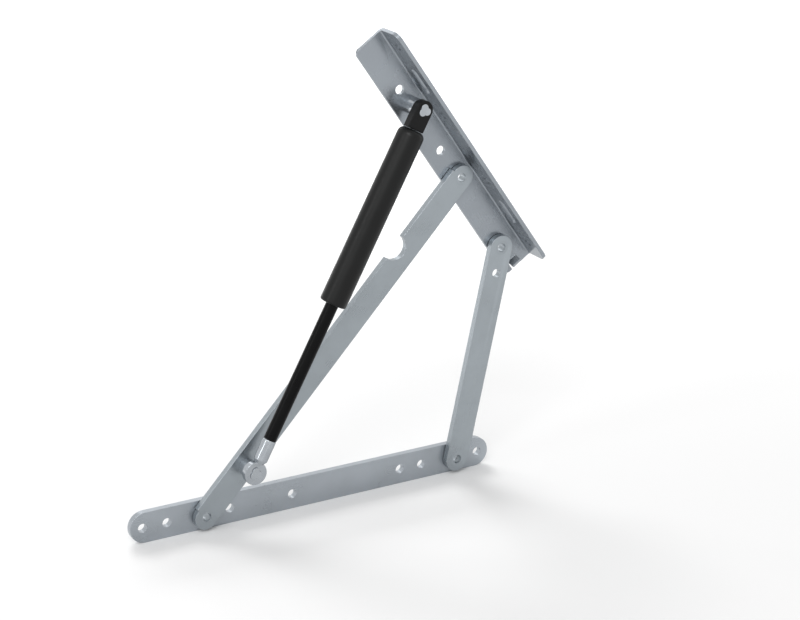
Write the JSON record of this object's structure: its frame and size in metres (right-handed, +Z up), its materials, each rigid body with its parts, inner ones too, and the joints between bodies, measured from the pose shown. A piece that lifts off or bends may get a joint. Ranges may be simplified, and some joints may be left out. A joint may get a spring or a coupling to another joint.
{
  "type": "bed lift mechanism",
  "caption": "Folding bed lift: base bar, two flat arms and an angle bracket in a four-bar linkage, held open by a gas strut.",
  "frame": {"origin": "midway between the base bar's end screw holes, on the face that lies against the bed's side rail", "axes": "+X along the base bar towards the short arm, +Z up, +Y into the bed's side rail; the strut lies on the -Y side"},
  "size_m": [0.387, 0.0385, 0.4064],
  "materials": {
    "zinc_plate": "bright zinc plate on rolled flat bar",
    "zinc_sheet": "bright zinc plate on bent sheet",
    "zinc_rivet": "zinc-plated pressed steel",
    "zinc_turned": "zinc-plated turned steel",
    "black_tube": "satin black powder coat",
    "black_eyelet": "moulded black nylon",
    "black_rod": "smooth black nitrided steel",
    "inner_steel": "plain turned steel, oiled",
    "sintered_bronze": "sintered bronze",
    "seal_rubber": "nitrile rubber"
  },
  "bodies": {
    "base": {"base_bar": "zinc_plate", "base_pivot_rivet": "zinc_rivet", "base_pivot_washers": "zinc_rivet", "short_arm_rivet_rear": "zinc_rivet"},
    "long_arm": {"long_arm": "zinc_plate", "lower_stud": "zinc_turned"},
    "top_bracket": {"top_bracket": "zinc_sheet", "upper_stud": "zinc_turned", "bracket_pivot_rivets": "zinc_rivet", "bracket_pivot_washers": "zinc_rivet"},
    "short_arm": {"short_arm": "zinc_plate", "short_arm_rivet_front": "zinc_rivet"},
    "strut_cylinder": {"strut_tube": "black_tube", "upper_eyelet": "black_eyelet", "end_plug": "inner_steel", "rod_guide": "sintered_bronze", "rod_seal": "seal_rubber", "seal_backing_washer": "inner_steel"},
    "strut_rod": {"piston_rod": "black_rod", "piston": "inner_steel", "piston_ring": "seal_rubber", "piston_washer": "inner_steel", "lower_eye": "zinc_turned", "lower_pin": "zinc_turned"}
  },
  "joints": [
    {"name": "long_arm_hinge", "type": "hinge", "parent": "base", "child": "long_arm", "pos_m": [-0.10575, -0.006, 0], "axis": [0, 1, 0], "range_deg": [0, 38.92], "stiffness_Nm_per_rad": 8, "springref_deg": -57.3},
    {"name": "bracket_hinge", "type": "hinge", "parent": "long_arm", "child": "top_bracket", "pos_m": [0.13864, -0.006, 0.2579], "axis": [0, 1, 0], "range_deg": [-94.24, 0]},
    {"name": "short_arm_hinge", "type": "hinge", "parent": "top_bracket", "child": "short_arm", "pos_m": [0.17961, -0.006, 0.18921], "axis": [0, 1, 0], "range_deg": [0, 120.14]},
    {"name": "strut_hinge", "type": "hinge", "parent": "top_bracket", "child": "strut_cylinder", "pos_m": [0.09141, -0.027, 0.32615], "axis": [0, 1, 0], "range_deg": [0, 105.52]},
    {"name": "rod_slide", "type": "slide", "parent": "strut_cylinder", "child": "strut_rod", "axis": [0.4837, 0, 0.8752], "range_m": [0, 0.1096]}
  ],
  "couplings": [
    {"joint": "bracket_hinge", "follows": "long_arm_hinge", "ratio": -2.4212},
    {"joint": "short_arm_hinge", "follows": "long_arm_hinge", "ratio": 3.0866},
    {"joint": "strut_hinge", "follows": "long_arm_hinge", "ratio": 2.7109},
    {"joint": "rod_slide", "follows": "long_arm_hinge", "m_per_rad": 0.16121}
  ]
}
